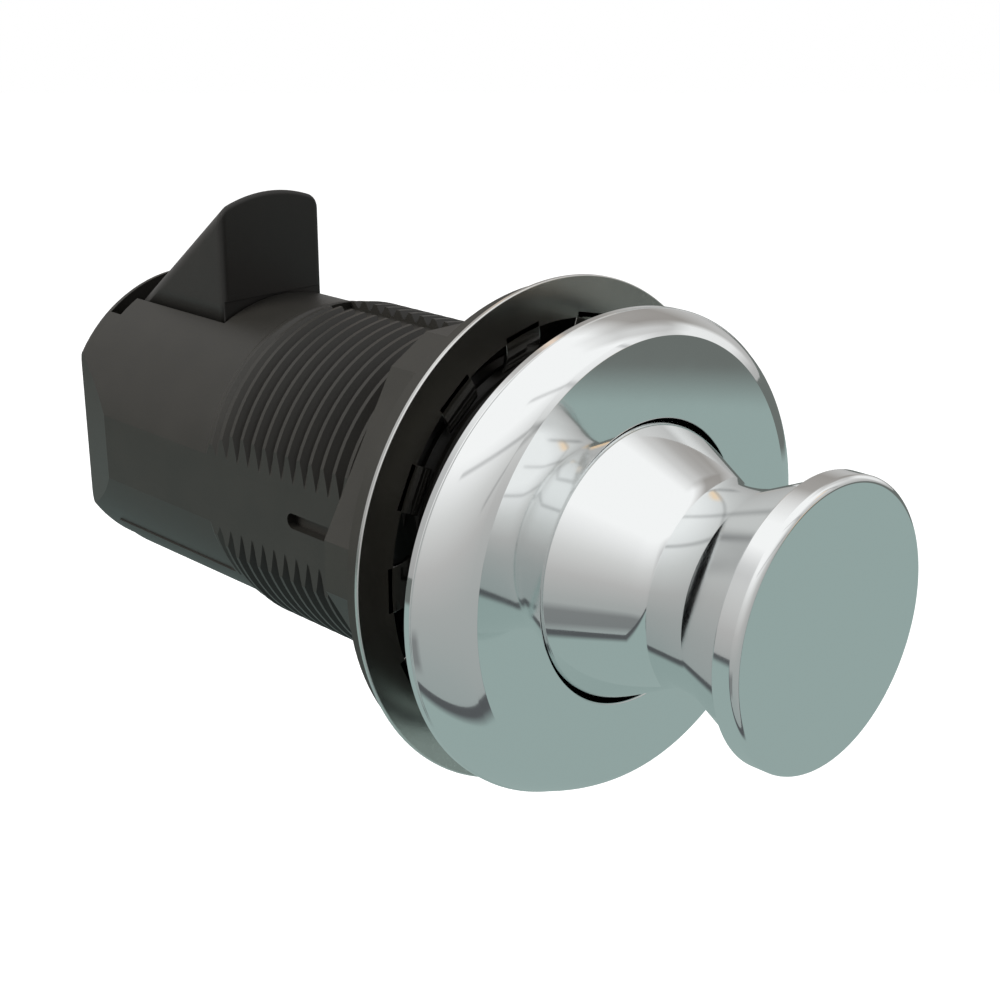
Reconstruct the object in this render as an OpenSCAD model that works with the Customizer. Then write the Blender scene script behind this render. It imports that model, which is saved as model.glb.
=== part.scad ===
// Push-to-close latch for a panel door, with a pull knob that also pushes in flush.
// Frame: the latch axis is Y, the knob faces -Y, the bolt points up (+Z), X is to the right.
// The origin is on the latch axis, in the face of the panel that the bezel sits on.
// Lengths are in millimetres. Every round profile is drawn as [radius, y].

/* [Bezel] */
// Outer radius of the bezel's lip on the panel
bezel_r = 28.5; // [27.6:0.1:31]
// Height of the bezel's flat face above the panel
bezel_h = 4.5; // [4.2:0.1:6]
// Radius of the bezel's flat face
bezel_face_r = 23.4; // [22:0.1:24]
// Radius of the bulge between the face and the lip
bezel_bulge_r = 8; // [7:0.5:14]
// Height of the thin upright edge of the lip
lip_h = 0.8; // [0.5:0.1:1.4]
// Radius of the hole that the knob runs in
hole_r = 15; // [14.4:0.1:15.4]
// Wall of the tube that stands on the bezel's back
neck_wall = 1.4; // [1.2:0.1:1.6]
// Length of that tube behind the panel face
neck_len = 8; // [6.5:0.5:10]
// Width of the rubber gasket under the bezel
gasket_w = 2; // [1.4:0.1:2.4]
// Thickness of the gasket and of the seal behind the face
gasket_t = 1.2; // [0.8:0.1:1.4]

/* [Knob] */
// How far the knob's face stands out of the bezel's face, and how far it pushes in
knob_out = 23.2; // [20:0.1:25]
// Gap all round between the knob and its hole
knob_gap = 0.4; // [0.3:0.05:0.6]
// Height of the upright rim of the knob's head
rim_h = 2.7; // [2:0.1:3.5]
// Rounding of the front edge of the head
head_round = 0.7; // [0.3:0.1:1]
// Smallest radius of the knob's neck
neck_r = 10.44; // [9.6:0.02:11]
// Height of the neck's narrowest place above the bezel's face
neck_at = 9.5; // [9:0.1:10.5]
// Radius of the concave curve from the base cone into the neck
neck_curve_r = 5.4; // [4:0.2:8]
// Radius of the concave curve from the neck into the head
flare_r = 14; // [12:0.5:18]
// Length of the knob's base behind the panel face
base_len = 8; // [7:0.5:10]
// Radius of the hollow in the back of the knob
cup_r = 9.5; // [9.3:0.1:10]
// Depth of that hollow in front of the panel face
cup_depth = 3; // [2:0.5:4]
// Radius of the knob's steel spindle
spindle_r = 2.5; // [2:0.1:2.8]

/* [Barrel] */
// Radius over the thread's crests
thread_r = 19.4; // [19.3:0.1:21]
// Pitch of the thread
thread_pitch = 2; // [1.5:0.1:3]
// Depth of the thread
thread_depth = 0.9; // [0.6:0.05:0.9]
// Where the thread ends, behind the panel face
thread_end = 45.5; // [43:0.5:48]
// Length of the plain shank that lies in the panel
shank_len = 4; // [3:0.5:6]
// Half of the width over the two flats
flat_half = 18; // [17.9:0.05:18.3]
// Radius of the plain body behind the thread
body_r = 18.45; // [18.4:0.05:19]
// Where the barrel ends, behind the panel face
body_end = 76; // [75.5:0.5:82]
// Width of the keyway along the top of the thread
keyway_w = 3.4; // [2.4:0.1:5]
// Depth of the keyway under the thread's crests
keyway_depth = 1.2; // [0.6:0.1:1.6]
// Width of the slot along each flat
side_slot_w = 1.76; // [1:0.02:3]
// Where the slot along each flat ends, behind the panel face
side_slot_end = 31; // [24:0.5:36]
// Depth of the slot along each flat
side_slot_depth = 1.2; // [0.6:0.1:1.6]
// How far each flat tapers in at the back
taper_in = 2.8; // [1:0.1:3]
// Length of that taper
taper_len = 9; // [4:0.5:12]
// Radius of the hollow that holds the mechanism
chamber_r = 16.4; // [16.2:0.05:16.8]
// Wall at the back of the barrel
back_wall = 1.5; // [1:0.1:2]

/* [Cover] */
// Half of the angle that the cover strip under the body spans
cover_half_angle = 53; // [45:1:60]
// Where the cover strip begins, behind the panel face
cover_from = 43.9; // [42:0.1:46]
// Length of the cover strip
cover_len = 26.5; // [25:0.5:28]
// How far the cover strip stands out of the body
cover_proud = 0.2; // [0:0.05:0.5]
// Thickness of the cover strip
cover_t = 1.65; // [1.4:0.05:1.8]

/* [Nut and ring] */
// Distance from the panel face to the fingered ring
ring_at = 7.8; // [5:0.1:24]
// Outer radius of the fingered ring
ring_r = 27.5; // [26.8:0.1:29]
// Width of the ring's flat part, outside its fingers
ring_w = 3.7; // [3.2:0.1:4.2]
// Thickness of the ring
ring_t = 0.5; // [0.3:0.05:0.8]
// Number of fingers
finger_count = 14; // [8:1:18]
// Angle that one finger spans
finger_angle = 11.2; // [6:0.1:16]
// Gap between the tips of the fingers and the thread's crests
finger_gap = 0.92; // [0.5:0.02:1.5]
// Angle through which each finger bends back
finger_bend = 75; // [50:1:80]
// Length of the whole clamp nut
nut_len = 9.2; // [8:0.1:12]
// How far the edge of the nut's flange lies inside the ring's edge
flange_inset = 1; // [0.5:0.1:1.8]
// Wall between the nut's flats and the dish in its front
dish_wall = 0.3; // [0.2:0.05:0.6]
// Distance over the nut's six broad flats
nut_af = 43.72; // [43:0.02:45]
// Distance over the nut's six cut corners
nut_corner_af = 47.28; // [46.5:0.02:48.5]

/* [Bolt] */
// Width of the bolt
bolt_w = 14.9; // [13:0.1:15.5]
// How far the bolt lies to the right of the latch axis
bolt_x = -1.15; // [-1.5:0.05:0]
// Distance from the panel face to the bolt's front
bolt_at = 54; // [53:0.5:56]
// Height of the bolt's top above the latch axis
bolt_top = 30.9; // [29:0.1:32]
// Radius of the bolt's domed top
bolt_dome_r = 22; // [16:0.5:40]
// Rounding of the bolt's top corners
bolt_corner_r = 2; // [1:0.1:3]
// Rounding of the bolt's upright edges
bolt_edge_r = 0.9; // [0.3:0.1:1.4]
// Width of the land on top of the bolt
bolt_land = 0.5; // [0.2:0.1:1.5]
// Slope of the bolt's ramp
bolt_slope = 37.5; // [34:0.5:42]
// How far the bolt draws in
bolt_throw = 12.5; // [11:0.1:13]
// How much deeper the bolt's front lies below its striking face, so that it runs free in its slot
bolt_relief = 0.2; // [0.1:0.05:0.4]
// Running gap round the bolt in its slot
bolt_gap = 0.15; // [0.1:0.05:0.25]
// Width over the wings at the bolt's back
wing_w = 20; // [18:0.1:20.2]
// Thickness of the wings
wing_t = 1.9; // [1.4:0.1:2.1]
// Radius of the cross pin
pin_r = 1.5; // [1.2:0.1:1.7]

/* [Mechanism] */
// How far the knob pulls out to draw the bolt in
pull = 7; // [6:0.5:8]
// Thickness of the collar on the cam slide
collar_t = 3; // [2.5:0.1:3.5]
// Thickness of each cheek of the cam slide
cheek_t = 2; // [1.5:0.1:2.1]
// Gap between the bolt and each cheek
cheek_gap = 0.35; // [0.2:0.05:0.4]
// Wire radius of the knob's spring
knob_wire_r = 0.55; // [0.4:0.05:0.6]
// Turns of the knob's spring
knob_turns = 9; // [6:1:10]
// Wire radius of the bolt's spring
bolt_wire_r = 0.45; // [0.3:0.05:0.5]
// Turns of the bolt's spring
bolt_turns = 9; // [6:1:11]

/* [Hidden] */
$fn = 96;
slack = 0.1;        // small gap between pieces that fit together
cut = 1;            // how far a cut runs past the surface it starts on

// Bezel and the front of the barrel
face_y = -bezel_h;
lip_edge = 0.2;                     // how far the bulge ends inside the lip's edge
lip_bevel = 0.1;                    // height of the bevel on the lip's edge
mouth_bevel = 0.15;                 // bevel of the hole's front edge
face_t = 1.9;                       // thickness of the bezel behind its face
pocket_y = face_y + face_t;         // floor of the pocket in the bezel's back
pocket_r = bezel_face_r - 0.8;      // radius of that pocket
pocket_gap = 0.1;                   // gap between the pocket and the barrel's flange
seal_t = gasket_t / 2;
gasket_shift = 0.4;                 // how far the gasket lies inside the middle of the bezel's back
gasket_r = (pocket_r + bezel_r) / 2 - gasket_shift;
tube_r = hole_r + neck_wall;
clip_y = neck_len / 2 - 0.8;        // front of the wire ring's groove
clip_t = 1;
clip_depth = 1.2;                   // depth of both grooves for the wire ring together
barrel_wall = thread_r - thread_depth - tube_r;
clip_out = 0.26 * barrel_wall;      // depth of the groove in the barrel
clip_in = clip_depth - clip_out;    // depth of the groove in the bezel's tube
clip_gap = 24;                      // angle of the opening in the wire ring

// Knob, from its face back to the end of the spindle
head_r = hole_r - knob_gap;
head_y = face_y - knob_out;
rim_y = head_y + rim_h;
waist_y = face_y - neck_at;
cone_slope = 26.2;                  // slope of the base cone against the axis
cone_end_r = neck_r + neck_curve_r * (1 - cos(cone_slope));
cone_end_y = waist_y + neck_curve_r * sin(cone_slope);
cone_start_y = cone_end_y + (head_r - cone_end_r) / tan(cone_slope);
flare_angle = 23.5;                 // slope at which the flare runs straight into the head
flare_arc_y = waist_y - flare_r * sin(flare_angle);
flare_arc_r = neck_r + flare_r * (1 - cos(flare_angle));
head_step = 0.3;                    // smallest step from the flare to the head's rim
flare_end_r = min(head_r - head_step, flare_arc_r + (flare_arc_y - rim_y) * tan(flare_angle));
base_bevel = 0.5;                   // bevel of the back edge of the knob's base
o_ring_r = 1;                       // section of the ring round the knob's base
o_ring_y = base_len - 3.9;
o_ring_gap = 0.05;                  // gap between that ring and the hole
end_gap = 0.5;                      // gap left at the end of the knob's stroke
collar_y = base_len + knob_out + end_gap;
clip_disc_r = spindle_r + 1.8;
clip_disc_t = 0.8;
clip_disc_y = collar_y + collar_t + slack;
clip_groove = 0.5;                  // depth of the groove for that clip
spindle_tail = 0.8;                 // length of the spindle behind its clip
spindle_bevel = 0.3;
spindle_end = clip_disc_y + clip_disc_t + spindle_tail;
spindle_root = waist_y;             // how deep the spindle is screwed into the knob
nut5_r = spindle_r + 2.1;           // corner radius of the spindle's nut
nut5_t = 3;

// Cam slide
slide_r = hole_r - 0.08;            // radius of the collar, a running fit in the bore
cheek_in = bolt_w / 2 + cheek_gap;  // from the bolt's middle to a cheek
pin_y = bolt_at + 5;
pin_z = 9;
window_r = pin_r + 0.1;             // running fit of the pin in the slope of the window
window_web = 1.4;                   // web of the cheek outside the window
ramp_len = norm([pull, bolt_throw]);
ramp_n = [bolt_throw, pull] / ramp_len;         // points square off the slope, up and back
cheek_top = pin_z + window_r + window_web;
cheek_low = pin_z - bolt_throw - window_r - window_web;
cheek_front_top = 8.5;              // height of the stretch that runs into the narrow bore
cheek_step_y = bolt_at - 3.5;       // where the cheek rises to its full height
cheek_shoulder = 1;                 // length of the bevels on top of the cheek
chamber_fit = 0.15;                 // running gap between the cheeks and the chamber
catch_r = cup_r - 0.35;             // outer radius of the catch sleeve
catch_wall = 1.6;
catch_len = collar_y - (knob_out - cup_depth) - slack * 4;
catch_slot_w = 2.6;
catch_pin_r = 0.8;
catch_pin_y = base_len - 1.4;

// Barrel
bore_r = hole_r;
bore_tail = 4;                      // how far the bore runs on behind the collar
chamber_from = collar_y + collar_t + bore_tail;
chamber_half = 13.6;                // the chamber's flat sides
inner_end = body_end - back_wall;
wing_y = inner_end - wing_t - 2 * bolt_gap;
back_round = 1.2;                   // rounding of the barrel's back edge
thread_teeth = floor((thread_end - shank_len) / thread_pitch);
thread_from = thread_end - thread_teeth * thread_pitch;
run_out = 3;                        // number of teeth over which the thread fades out
flank_foot = 0.15;                  // share of the pitch before a tooth's front flank
crest_from = 0.45;                  // share of the pitch at which its crest begins
crest_to = 0.7;                     // share of the pitch at which its crest ends
body_step_len = 0.2;                // length of the step from the thread to the body
front_flange_r = pocket_r - pocket_gap;
slot_front = bolt_at - bolt_gap;
keyway_end = thread_end - 2.5;
slots_from = shank_len + thread_pitch;

// Cover
cover_r = body_r + cover_proud;
cover_in = cover_r - cover_t;
cover_side_gap = 0.4;               // angle left free at each side of the cover
hatch_half = 9;                     // half width of the opening under the cover
hatch_ledge = 3.5;                  // ledge under each end of the cover
hatch_from = cover_from + hatch_ledge;
hatch_len = cover_len - 2 * hatch_ledge;

// Ring and nut
finger_root_r = ring_r - ring_w;
finger_tip_r = thread_r + finger_gap;
finger_bend_r = (finger_root_r - finger_tip_r) / sin(finger_bend);
finger_sink = 0.05;                 // how far the flat ring runs into the fingers' roots
nut_y = ring_at + ring_t;
nut_bore_r = thread_r + slack / 2;
nut_dish_r = finger_root_r + 2 * slack;         // mouth of the dish that clears the fingers
nut_dish_y = finger_bend_r + ring_t + 2 * slack;
flange_r = ring_r - flange_inset;
flange_t = nut_dish_y * (nut_dish_r - nut_af / 2 + dish_wall) / (nut_dish_r - nut_bore_r);

// Bolt
bolt_low = -1;
bolt_back = inner_end - bolt_gap;
strike_low = body_r + bolt_gap;     // lower edge of the striking face
bolt_notch_y = spindle_end + knob_out + end_gap;        // back of the spindle's notch
bolt_notch_half = clip_disc_r + 3 * slack;
bolt_notch_top = 13.8;
wing_low = 1.5;
wing_top = 11.4;
spring_pocket_r = 3.2;
pocket_web = 0.9;                   // web in front of the pocket for the bolt's spring
spring_y = max(bolt_notch_y, pin_y + pin_r) + pocket_web + spring_pocket_r;
spring_top = 8.5;
spring_coil_r = 2.3;
seat_r = 3.6;
seat_z = -(chamber_r - 0.5);
seat_sink = 0.5;                    // how far the seat runs into the cover strip
peg_h = 1.8;                        // height of the peg that centres the spring

// A solid turned about the latch axis from a profile of [radius, y] points
module turned(points, angle = 360) {
    rotate([-90, 0, 0]) rotate_extrude(angle = angle) polygon(points);
}

// A cylinder along the latch axis
module rod_y(r, y0, y1) {
    translate([0, y0, 0]) rotate([-90, 0, 0]) cylinder(r = r, h = y1 - y0);
}

// A flat ring about the latch axis
module ring_y(r_in, r_out, y0, y1) {
    turned([[r_in, y0], [r_out, y0], [r_out, y1], [r_in, y1]]);
}

// An outline of [y, z] points drawn along X from x0 to x1
module along_x(x0, x1) {
    translate([x0, 0, 0]) rotate([90, 0, 90]) linear_extrude(x1 - x0) children();
}

// Points on an arc from angle a0 to a1 about c
function arc(c, r, a0, a1, n = 8) =
    [for (i = [0 : n]) let (a = a0 + (a1 - a0) * i / n) c + r * [cos(a), sin(a)]];

// Centre of the circle of radius r through p and q, on the side away from the bulge
function bulge_centre(p, q, r) =
    let (d = q - p, h = sqrt(r * r - d * d / 4)) (p + q) / 2 + h * [-d.y, d.x] / norm(d);

function angle_of(v) = atan2(v.y, v.x);

// Die-cast front ring: flat face, bulging flank, thin lip and a tube that enters the barrel
module bezel() {
    p = [bezel_face_r, face_y];
    q = [bezel_r - lip_edge, -lip_h];
    c = bulge_centre(p, q, bezel_bulge_r);
    color([0.78, 0.80, 0.80]) difference() {
        turned(concat(
            [[hole_r, neck_len], [hole_r, face_y + mouth_bevel], [hole_r + mouth_bevel, face_y]],
            arc(c, bezel_bulge_r, angle_of(p - c), angle_of(q - c), 10),
            [[bezel_r, -lip_h + lip_bevel], [bezel_r, 0], [pocket_r, 0], [pocket_r, pocket_y],
             [tube_r, pocket_y], [tube_r, neck_len]]));
        ring_y(gasket_r - gasket_w / 2, gasket_r + gasket_w / 2, -gasket_t, cut);
        ring_y(tube_r - clip_in, tube_r + cut, clip_y, clip_y + clip_t);
    }
}

// Rubber ring that seals the bezel on the panel
module panel_gasket() {
    color([0.08, 0.08, 0.08])
        ring_y(gasket_r - gasket_w / 2, gasket_r + gasket_w / 2, -gasket_t, 0);
}

// Rubber washer between the bezel's pocket and the barrel's flange
module bezel_seal() {
    color([0.08, 0.08, 0.08])
        ring_y(tube_r + slack, front_flange_r, pocket_y, pocket_y + seal_t);
}

// Open wire ring that locks the bezel's tube in the barrel
module bezel_clip() {
    r_in = tube_r - clip_in + slack / 2;
    r_out = tube_r + clip_out - slack;
    y0 = clip_y + slack / 2;
    y1 = clip_y + clip_t - slack / 2;
    color([0.6, 0.6, 0.6]) rotate([0, 90 + clip_gap / 2, 0])
        turned([[r_in, y0], [r_out, y0], [r_out, y1], [r_in, y1]], 360 - clip_gap);
}

// One tooth of the thread. The last teeth at the back run out
function tooth(k) =
    let (y = thread_from + k * thread_pitch, root = thread_r - thread_depth,
         crest = root + thread_depth * min(1, (thread_teeth - k) / run_out))
    [[root, y + thread_pitch * flank_foot], [crest, y + thread_pitch * crest_from],
     [crest, y + thread_pitch * crest_to], [root, y + thread_pitch]];

// The barrel's outside: front flange, plain shank, thread and body
module barrel_outside() {
    root = thread_r - thread_depth;
    turned(concat(
        [[0, pocket_y + seal_t], [front_flange_r, pocket_y + seal_t], [front_flange_r, 0], [thread_r, 0],
         [thread_r, shank_len - thread_pitch / 4], [root, shank_len]],
        [for (k = [0 : thread_teeth - 1]) each tooth(k)],
        [[body_r, thread_end + body_step_len]],
        arc([body_r - back_round, body_end - back_round], back_round, 0, 90, 5),
        [[0, body_end]]));
}

// Space behind one flat, with the taper at the back, as an outline seen from above
module flat_cut() {
    translate([0, 0, -2 * thread_r]) linear_extrude(4 * thread_r)
        polygon([[flat_half, 0], [flat_half, body_end - taper_len], [flat_half - taper_in, body_end],
                 [flat_half - taper_in, body_end + cut], [2 * thread_r, body_end + cut], [2 * thread_r, 0]]);
}

// Slot along one flat for a locking tab, round at its back end
module side_slot() {
    back = side_slot_end - side_slot_w / 2;
    translate([flat_half - side_slot_depth, 0, 0]) {
        translate([0, back, 0]) rotate([0, 90, 0]) cylinder(d = side_slot_w, h = 2 * side_slot_depth);
        translate([0, slots_from, -side_slot_w / 2])
            cube([2 * side_slot_depth, back - slots_from, side_slot_w]);
    }
}

// Opening for the bolt in the top of the body, wider at the back for its wings
module bolt_slot() {
    half = bolt_w / 2 + bolt_gap;
    wing_half = wing_w / 2 + bolt_gap;
    translate([bolt_x - half, slot_front, 0]) cube([2 * half, inner_end - slot_front, 2 * body_r]);
    translate([bolt_x - wing_half, wing_y, 0]) cube([2 * wing_half, inner_end - wing_y, 2 * body_r]);
}

// The strip under the body, as a sector of a ring
module strip_sector(r_in, r_out, y0, y1, half_angle) {
    rotate([0, 90 - half_angle, 0]) turned([[r_in, y0], [r_out, y0], [r_out, y1], [r_in, y1]], 2 * half_angle);
}

// Moulded barrel: threaded front, smooth body with the bolt's slot, bore and chamber inside
module barrel() {
    color([0.22, 0.22, 0.20]) difference() {
        barrel_outside();
        for (s = [0, 1]) mirror([s, 0, 0]) {
            flat_cut();
            side_slot();
        }
        translate([-keyway_w / 2, slots_from, thread_r - keyway_depth])
            cube([keyway_w, keyway_end - slots_from, 2 * keyway_depth]);
        rod_y(tube_r, pocket_y - cut, neck_len + slack);
        ring_y(tube_r - cut, tube_r + clip_out, clip_y, clip_y + clip_t);
        rod_y(bore_r, 0, chamber_from + cut);
        intersection() {
            rod_y(chamber_r, chamber_from, inner_end);
            translate([-chamber_half, 0, -2 * body_r]) cube([2 * chamber_half, body_end, 4 * body_r]);
        }
        bolt_slot();
        strip_sector(cover_in, 2 * body_r, cover_from - slack, cover_from + cover_len + slack,
            cover_half_angle + cover_side_gap);
        translate([-hatch_half, hatch_from, -2 * body_r]) cube([2 * hatch_half, hatch_len, 2 * body_r]);
        translate([bolt_x, spring_y, -2 * body_r]) cylinder(r = seat_r + 3 * slack, h = 2 * body_r);
    }
}

// Snap-in strip that closes the body underneath and carries the bolt's spring
module lower_cover() {
    color([0.20, 0.20, 0.19]) union() {
        strip_sector(cover_in, cover_r, cover_from, cover_from + cover_len, cover_half_angle);
        translate([bolt_x, spring_y, -cover_in - seat_sink])
            cylinder(r = seat_r, h = seat_z + cover_in + seat_sink);
        translate([bolt_x, spring_y, seat_z - seat_sink])
            cylinder(r = spring_coil_r - bolt_wire_r - slack, h = peg_h + seat_sink);
    }
}

// Clamp nut: round flange, hexagon with cut corners, dish in front for the ring's fingers
module clamp_nut() {
    color([0.24, 0.24, 0.22]) difference() {
        union() {
            rod_y(flange_r, nut_y, nut_y + flange_t);
            translate([0, nut_y + flange_t, 0]) rotate([-90, 0, 0]) intersection() {
                cylinder(d = nut_af / cos(30), h = nut_len - flange_t, $fn = 6);
                rotate([0, 0, 30]) cylinder(d = nut_corner_af / cos(30), h = nut_len - flange_t, $fn = 6);
            }
        }
        rod_y(nut_bore_r, nut_y - cut, nut_y + nut_len + cut);
        turned([[0, nut_y - cut], [nut_dish_r, nut_y - cut], [nut_dish_r, nut_y],
                [nut_bore_r, nut_y + nut_dish_y], [0, nut_y + nut_dish_y]]);
    }
}

// Steel spring ring whose fingers bend in and back towards the barrel
module spring_ring() {
    c = [finger_root_r, ring_at + ring_t / 2 + finger_bend_r];
    outer = arc(c, finger_bend_r + ring_t / 2, 270, 270 - finger_bend, 6);
    inner = arc(c, finger_bend_r - ring_t / 2, 270 - finger_bend, 270, 6);
    color([0.35, 0.35, 0.34]) union() {
        ring_y(finger_root_r - finger_sink, ring_r, ring_at, ring_at + ring_t);
        for (k = [0 : finger_count - 1])
            rotate([0, -(90 + 180 / finger_count + k * 360 / finger_count) - finger_angle / 2, 0])
                turned(concat(outer, inner), finger_angle);
    }
}

// Pull knob, turned in one piece: base in the hole, cone, waist and flat round head
module knob() {
    color([0.80, 0.82, 0.82]) difference() {
        turned(concat(
            [[0, head_y]],
            arc([head_r - head_round, head_y + head_round], head_round, 270, 360, 5),
            [[head_r, rim_y], [flare_end_r, rim_y]],
            arc([neck_r + flare_r, waist_y], flare_r, 180 + flare_angle, 180, 8),
            arc([neck_r + neck_curve_r, waist_y], neck_curve_r, 180 - cone_slope / 6, 180 - cone_slope, 5),
            [[head_r, cone_start_y], [head_r, base_len - base_bevel], [head_r - base_bevel, base_len],
             [0, base_len]]));
        rod_y(cup_r, -cup_depth, base_len + cut);
        rod_y(spindle_r, spindle_root, 0);
        ring_y(hole_r - o_ring_gap - 2 * o_ring_r - slack / 10, head_r + cut,
            o_ring_y - o_ring_r - slack, o_ring_y + o_ring_r + slack);
        translate([0, catch_pin_y, 0]) cylinder(r = catch_pin_r, h = head_r + cut);
    }
}

// Rubber ring round the knob's base
module knob_seal() {
    color([0.08, 0.08, 0.08]) translate([0, o_ring_y, 0]) rotate([-90, 0, 0]) rotate_extrude()
        translate([hole_r - o_ring_gap - o_ring_r, 0]) circle(r = o_ring_r, $fn = 32);
}

// Pin in the knob's base that runs in the catch sleeve's slot
module catch_pin() {
    low = catch_r - catch_wall + 2 * slack;
    color([0.6, 0.6, 0.6]) translate([0, catch_pin_y, low])
        cylinder(r = catch_pin_r, h = hole_r - 2 * knob_gap - low);
}

// Steel spindle, screwed into the knob, with a groove for its clip
module spindle() {
    groove_r = spindle_r - clip_groove;
    color([0.62, 0.62, 0.62]) turned([[0, spindle_root], [spindle_r, spindle_root], [spindle_r, clip_disc_y],
        [groove_r, clip_disc_y], [groove_r, clip_disc_y + clip_disc_t], [spindle_r, clip_disc_y + clip_disc_t],
        [spindle_r, spindle_end - spindle_bevel], [spindle_r - spindle_bevel, spindle_end], [0, spindle_end]]);
}

// Hexagon nut that locks the spindle in the bottom of the knob's hollow
module spindle_nut() {
    color([0.62, 0.62, 0.62]) difference() {
        translate([0, -cup_depth, 0]) rotate([-90, 0, 0]) cylinder(r = nut5_r, h = nut5_t, $fn = 6);
        rod_y(spindle_r, -cup_depth - cut, nut5_t);
    }
}

// Open clip at the end of the spindle that draws the slide along
module spindle_clip() {
    gap_angle = 70;
    color([0.5, 0.5, 0.5]) rotate([0, 90 + gap_angle / 2, 0])
        turned([[spindle_r - clip_groove, clip_disc_y], [clip_disc_r, clip_disc_y],
                [clip_disc_r, clip_disc_y + clip_disc_t], [spindle_r - clip_groove, clip_disc_y + clip_disc_t]],
            360 - gap_angle);
}

// Round wire wound along +Z: helix of radius r, from z = 0 to z = len
module coil(r, wire, turns, len) {
    sides = 8;
    steps = 16;
    rise = (len - 2 * wire) / turns;
    lean = atan2(rise, 2 * PI * r);
    last = turns * steps;
    points = [for (i = [0 : last], k = [0 : sides - 1])
        let (a = 360 * i / steps, b = 360 * k / sides, u = r + wire * cos(b), v = wire * sin(b))
        [u * cos(a) + v * sin(lean) * sin(a), u * sin(a) - v * sin(lean) * cos(a),
         wire + rise * i / steps + v * cos(lean)]];
    walls = [for (i = [0 : last - 1], k = [0 : sides - 1])
        let (m = (k + 1) % sides)
        [i * sides + k, i * sides + m, (i + 1) * sides + m, (i + 1) * sides + k]];
    ends = [[for (k = [sides - 1 : -1 : 0]) k], [for (k = [0 : sides - 1]) last * sides + k]];
    polyhedron(points, concat(walls, ends));
}

// Spring that pops the knob out
module knob_spring() {
    mean_r = (catch_r - catch_wall + nut5_r) / 2;
    color([0.55, 0.55, 0.55]) translate([0, -cup_depth, 0]) rotate([-90, 0, 0])
        coil(mean_r, knob_wire_r, knob_turns, collar_y + cup_depth);
}

// Outline of one cheek of the slide, seen from the side
module cheek_outline() {
    web = window_r + window_web;
    foot = [pin_y + pull, pin_z - bolt_throw] + web * ramp_n;
    crown = [pin_y, pin_z] + web * ramp_n;
    back = pin_y + pull + window_r + window_web;
    polygon([[collar_y + collar_t - cut, cheek_low], [back, cheek_low], [back, foot.y], foot, crown,
        [crown.x - cheek_shoulder, cheek_top], [bolt_at + cheek_shoulder, cheek_top],
        [cheek_step_y, cheek_front_top], [collar_y + collar_t - cut, cheek_front_top]]);
}

// Sloped window that draws the cross pin down. It is open below, so a slammed bolt drops alone
module cheek_window(x0, x1) {
    top = [pin_y, pin_z];
    low = [pin_y, pin_z - bolt_throw];
    far = [pin_y + pull, pin_z - bolt_throw];
    for (p = [top, low, far])
        translate([x0, p.x, p.y]) rotate([0, 90, 0]) cylinder(r = window_r, h = x1 - x0);
    along_x(x0, x1) polygon([top - [window_r, 0], low - [window_r, 0], low - [0, window_r],
        far - [0, window_r], far + window_r * ramp_n, top + window_r * ramp_n]);
}

// Cam slide: collar round the spindle and two cheeks that straddle the bolt
module cam_slide() {
    color([0.75, 0.74, 0.70]) difference() {
        union() {
            rod_y(slide_r, collar_y, collar_y + collar_t);
            intersection() {
                union() {
                    rod_y(slide_r, collar_y, cheek_step_y);
                    rod_y(chamber_r - chamber_fit, cheek_step_y, body_end);
                }
                for (s = [-1, 1]) translate([bolt_x + s * (cheek_in + cheek_t / 2), 0, 0])
                    along_x(-cheek_t / 2, cheek_t / 2) cheek_outline();
            }
        }
        rod_y(spindle_r + slack, collar_y - cut, collar_y + collar_t + cut);
        cheek_window(bolt_x - cheek_in - cheek_t - cut, bolt_x - cheek_in + slack);
        cheek_window(bolt_x + cheek_in - slack, bolt_x + cheek_in + cheek_t + cut);
    }
}

// Sleeve on the slide whose slot guides the knob's pin to the catch
module catch_sleeve() {
    slot_y = collar_y - catch_len - cut;
    color([0.62, 0.62, 0.60]) difference() {
        ring_y(catch_r - catch_wall, catch_r, collar_y - catch_len, collar_y);
        translate([-catch_slot_w / 2, slot_y, 0])
            cube([catch_slot_w, catch_pin_y + knob_out + catch_pin_r + 3 * slack - slot_y, catch_r + cut]);
    }
}

// Section across the bolt's ramp: domed top with rounded corners and straight sides
module domed_section() {
    half = bolt_w / 2;
    corner = [half - bolt_corner_r,
        -bolt_dome_r + sqrt(pow(bolt_dome_r - bolt_corner_r, 2) - pow(half - bolt_corner_r, 2))];
    turn = atan2(corner.y + bolt_dome_r, corner.x);
    right = concat([[half, -3 * bolt_top]], arc(corner, bolt_corner_r, 0, turn, 4),
        arc([0, -bolt_dome_r], bolt_dome_r, turn + (90 - turn) / 4, 90, 3));
    polygon(concat(right, [for (i = [len(right) - 2 : -1 : 0]) [-right[i].x, right[i].y]]));
}

// Rectangle with rounded corners, its corner nearest the origin at [0, 0]
module round_rect(w, h, r) {
    polygon(concat(arc([w - r, r], r, 270, 360, 4), arc([w - r, h - r], r, 0, 90, 4),
        arc([r, h - r], r, 90, 180, 4), arc([r, r], r, 180, 270, 4)));
}

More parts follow.
